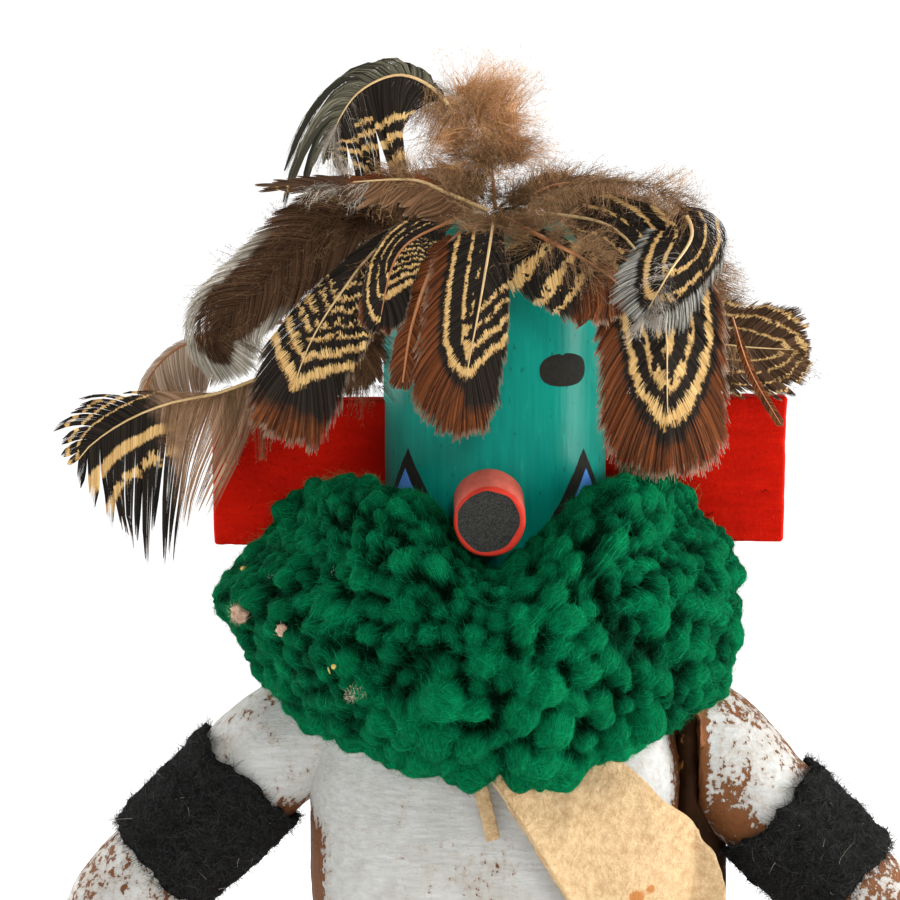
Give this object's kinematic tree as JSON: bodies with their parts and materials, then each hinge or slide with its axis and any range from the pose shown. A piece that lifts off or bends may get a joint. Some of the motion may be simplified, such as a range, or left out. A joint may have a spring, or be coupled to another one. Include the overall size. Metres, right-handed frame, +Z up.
{
  "type": "kachina doll",
  "caption": "Standing carved wooden doll with a turquoise case mask, tube snout, red block ears, green yarn ruff, felt armbands, leather kilt and a crown of barred feathers.",
  "frame": {"origin": "middle of the plinth's underside, on the floor", "axes": "+Z up through the crown of the mask, -Y the way the face looks, +X towards the right of someone facing the doll"},
  "size_m": [0.2104, 0.116, 0.3639],
  "materials": {
    "painted_wood": "matt white paint rubbed through to brown wood; the mask is turquoise",
    "red_wood": "satin red paint, grain showing",
    "green_yarn": "fuzzy acrylic yarn",
    "black_felt": "matt wool felt with loose fibres",
    "pale_leather": "suede, lightly stained",
    "feather": "barred game-bird feather",
    "bare_wood": "dull rubbed wood"
  },
  "bodies": {
    "root": {"arm_left": "painted_wood", "arm_right": "painted_wood", "armband_left": "black_felt", "armband_right": "black_felt", "carved_body": "painted_wood", "ear_left": "red_wood", "ear_right": "red_wood", "feather_back_centre": "feather", "feather_back_crest": "feather", "feather_back_crest_right": "feather", "feather_back_left": "feather", "feather_back_right": "feather", "feather_brow_centre": "feather", "feather_brow_left": "feather", "feather_brow_right": "feather", "feather_brow_rust": "feather", "feather_crest_barred": "feather", "feather_crest_down": "feather", "feather_crown_right_down": "feather", "feather_curl_left": "feather", "feather_ear_right_large": "feather", "feather_side_left_back": "feather", "feather_side_left_far": "feather", "feather_side_right": "feather", "feather_sliver_right": "feather", "feather_temple_left_brown": "feather", "feather_temple_left_large": "feather", "feather_temple_left_small": "feather", "feather_temple_right_curl": "feather", "kilt": "pale_leather", "lace_end": "pale_leather", "plinth": "bare_wood", "shoulder_leather": "pale_leather", "snout": "red_wood", "yarn_ruff": "green_yarn"}
  },
  "joints": []
}
